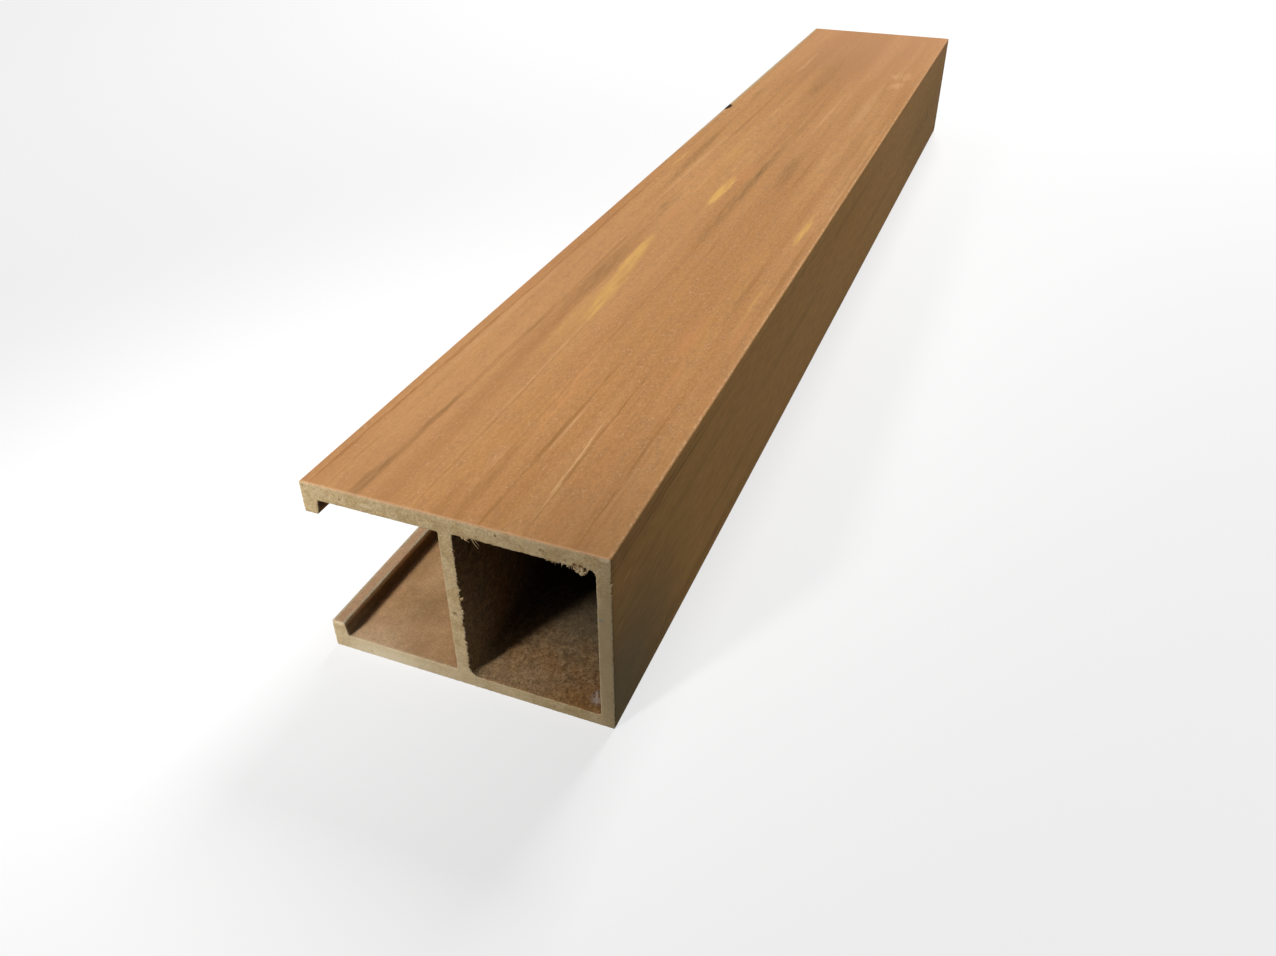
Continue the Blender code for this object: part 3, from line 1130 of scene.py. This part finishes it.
# %% [markdown]
# ## Whiskers
#
# Two long shavings hang from the roof of the chamber, and short fuzz stands beside them. A whisker is
# a small hexagon that is extruded step by step. Each step is a little thinner and follows a slight sag,
# and the last ring is merged into a point. Extruding leaves the old end inside, so all of those but
# the first, which closes the root, are deleted.

# %% Shavings at the roof
# Each whisker is its start, its end, its sag and its thickness.
WHISKERS = (
    ((42.9, 0.0, 46.3), (44.9, -0.5, 44.2), 0.15, 0.22),
    ((43.4, 0.1, 46.2), (45.1, -0.1, 44.3), -0.1, 0.14),
    ((41.0, 0.0, 45.9), (42.9, -0.3, 45.3), 0.2, 0.16),
    ((38.2, 0.0, 14.6), (38.7, -0.2, 13.2), 0.1, 0.14),
    ((62.3, 0.0, 45.8), (62.9, -0.3, 45.1), 0.05, 0.1),
    ((63.9, 0.1, 45.8), (64.1, -0.3, 45.0), 0.05, 0.1),
    ((65.4, 0.0, 45.8), (66.0, -0.2, 45.0), 0.05, 0.12),
    ((66.2, 0.0, 45.8), (66.5, -0.3, 44.9), 0.05, 0.1),
)
WHISKER_STEPS = 7


def add_whisker(mesh, start, end, sag, thickness):
    """A tapered shaving that runs from its start to its end and sags between them."""
    start = on_slat(*start)
    end = on_slat(*end)
    turn = (end - start).to_track_quat("Z", "Y").to_matrix().to_4x4()
    root = Matrix.Translation(start) @ turn
    radius = thickness / 2 * MM
    ring = bmesh.ops.create_circle(mesh, cap_ends=True, segments=6, radius=radius, matrix=root)["verts"]
    tip = next(iter(ring[0].link_faces))
    middle = start
    for step in range(1, WHISKER_STEPS + 1):
        share = step / WHISKER_STEPS
        drop = Vector((0, 0, -sag * math.sin(math.pi * share) * MM))
        wanted = start.lerp(end, share) + drop
        grown = bmesh.ops.extrude_face_region(mesh, geom=[tip])["geom"]
        if step > 1:
            bmesh.ops.delete(mesh, geom=[tip], context="FACES_ONLY")
        tip = next(item for item in grown if isinstance(item, bmesh.types.BMFace))
        thinner = 1 - share / WHISKER_STEPS - 0.05
        bmesh.ops.translate(mesh, verts=tip.verts[:], vec=wanted - middle)
        shrink = Matrix.Scale(thinner, 4)
        bmesh.ops.transform(mesh, matrix=shrink, space=Matrix.Translation(-wanted), verts=tip.verts[:])
        middle = wanted
    bmesh.ops.pointmerge(mesh, verts=tip.verts[:], merge_co=middle)


whiskers = bmesh.new()
for whisker in WHISKERS:
    add_whisker(whiskers, *whisker)
bmesh.ops.recalc_face_normals(whiskers, faces=whiskers.faces)
print("whiskers:", len(WHISKERS), "in", len(whiskers.faces), "faces")
make_piece(whiskers, "saw_whiskers", [sawn.material])

# %% [markdown]
# ## The floor and the sky
#
# The floor looks almost white to the camera, to mirrors and through glass, partly by a glow of its own
# that only they see. On the slat it throws less light than it seems to, so that the shaded side stays
# in shade. The shadow stays visible, because only part of the white is glow. The sky is split in the
# same way. Further off the floor's glow rises to the sky's white, so that the horizon hardly shows.

# %% Floor and sky
SEEN_FLOOR = (0.33, 0.33, 0.33, 1)
FLOOR_GLOW = (0.64, 0.64, 0.64, 1)
UNSEEN_FLOOR = (0.30, 0.28, 0.26, 1)
SKY_LIGHT = (0.15, 0.15, 0.15, 1)
SKY_SEEN = (0.97, 0.97, 0.97, 1)
BLACK = (0, 0, 0, 1)
FLOOR_REACH = 60
SHADOW_REACH = 1700

floor_mesh = bmesh.new()
bmesh.ops.create_grid(floor_mesh, x_segments=1, y_segments=1, size=FLOOR_REACH)
floor_data = bpy.data.meshes.new("studio_floor")
floor_mesh.to_mesh(floor_data)
floor_mesh.free()
floor = bpy.data.objects.new("studio_floor", floor_data)
bpy.context.scene.collection.objects.link(floor)


def seen_share(finish):
    """1 for what the camera sees, also in a mirror or through glass, and 0 for light on its way."""
    paths = finish.tree.nodes.new("ShaderNodeLightPath").outputs
    seen = Field(finish, paths["Is Camera Ray"])
    for path in ("Is Glossy Ray", "Is Transmission Ray"):
        seen = seen.at_least(Field(finish, paths[path]))
    return seen


floor_finish = Finish("pale_floor", roughness=0.9)
seen = seen_share(floor_finish)
near_slat = floor_finish.spot((FACE_SIDE / 2, HALF_WAY, 0), [SHADOW_REACH] * 3)
seen_floor = floor_finish.blend(near_slat, BLACK, SEEN_FLOOR)
seen_glow = floor_finish.blend(near_slat, SKY_SEEN, FLOOR_GLOW)
floor_finish.colour(floor_finish.blend(seen, UNSEEN_FLOOR, seen_floor))
glow = floor_finish.blend(seen, BLACK, seen_glow)
floor_finish.plug(glow, floor_finish.shader.inputs["Emission Color"])
floor_finish.shader.inputs["Emission Strength"].default_value = 1
floor_data.materials.append(floor_finish.material)


class SkyFinish(Finish):
    """The same node methods for the world."""

    def __init__(self, world):
        self.tree = world.node_tree


sky = bpy.data.worlds.new("studio_sky")
bpy.context.scene.world = sky
sky.use_nodes = True
sky_finish = SkyFinish(sky)
sky_colour = sky_finish.blend(seen_share(sky_finish), SKY_LIGHT, SKY_SEEN)
sky_finish.plug(sky_colour, sky.node_tree.nodes["Background"].inputs["Color"])
print("the floor has", len(floor_finish.tree.nodes), "nodes")

# %% [markdown]
# ## The lamps
#
# The shadows tell where the light is. One edge of shadow runs up the chamber's floor, so a fairly
# small lamp stands to the left of the near end and shines into it. The upper side is brighter than the
# sawn end, so a large soft box hangs beyond the far end. Directions are given as on a compass, from
# the far end round by the face side, with the height above the floor as an angle.

# %% Lamps
def toward(compass, height):
    """The direction of a lamp, from a compass angle and an angle above the floor, in degrees."""
    turn = math.radians(compass)
    rise = math.radians(height)
    return Vector((math.sin(turn) * math.cos(rise), math.cos(turn) * math.cos(rise), math.sin(rise)))


def hang_lamp(light, name, target, direction, distance):
    """Hangs a lamp so that it shines on its target from a direction, unseen by the camera."""
    lamp = bpy.data.objects.new(name, light)
    lamp.location = target + direction * distance
    lamp.rotation_euler = (-direction).to_track_quat("-Z", "Y").to_euler()
    lamp.visible_camera = False
    bpy.context.scene.collection.objects.link(lamp)
    return lamp


box_light = bpy.data.lights.new("far_soft_box", "AREA")
box_light.size = 0.5
box_light.energy = 19.5
box = hang_lamp(box_light, "far_soft_box", Vector((0, 0.05, 0.03)), toward(3, 48), 1.4)

window_light = bpy.data.lights.new("near_left_window", "SPOT")
window_light.spot_size = math.radians(24.7)
window_light.spot_blend = 1
window_light.shadow_soft_size = 0.085
window_light.energy = 31.5
window = hang_lamp(window_light, "near_left_window", on_slat(-60, 0, 52), toward(198.8, 32.6), 0.665)
print("lamps:", box.name, "and", window.name)

# %% [markdown]
# ## The camera
#
# The camera stands where the slat's corners and edges fall where they do in the photograph: about a
# quarter of a metre from the near end, above it and to the right, with a wide lens.

# %% Camera
PHOTO_WIDTH = 1276
PHOTO_FOCAL_PIXELS = 1024
SENSOR = 36
CAMERA_PLACE = on_slat(138.35, -142.95, 181.25)
CAMERA_FORWARD = Vector((-0.30362, 0.75607, -0.57981))
CAMERA_RIGHT = Vector((0.92922, 0.3695, -0.00476))

camera_data = bpy.data.cameras.new("photo_camera")
camera_data.sensor_width = SENSOR
camera_data.lens = PHOTO_FOCAL_PIXELS / PHOTO_WIDTH * SENSOR
camera_data.clip_start = 0.01
camera = bpy.data.objects.new("photo_camera", camera_data)
camera_up = CAMERA_RIGHT.cross(CAMERA_FORWARD)
turned = Matrix((CAMERA_RIGHT, camera_up, -CAMERA_FORWARD)).transposed()
camera.matrix_world = Matrix.Translation(CAMERA_PLACE) @ turned.to_4x4()
bpy.context.scene.collection.objects.link(camera)
bpy.context.scene.camera = camera
bpy.context.scene.view_settings.view_transform = "Standard"
print(f"lens {camera_data.lens:.1f} mm, {CAMERA_PLACE.z / MM:.0f} mm above the floor")
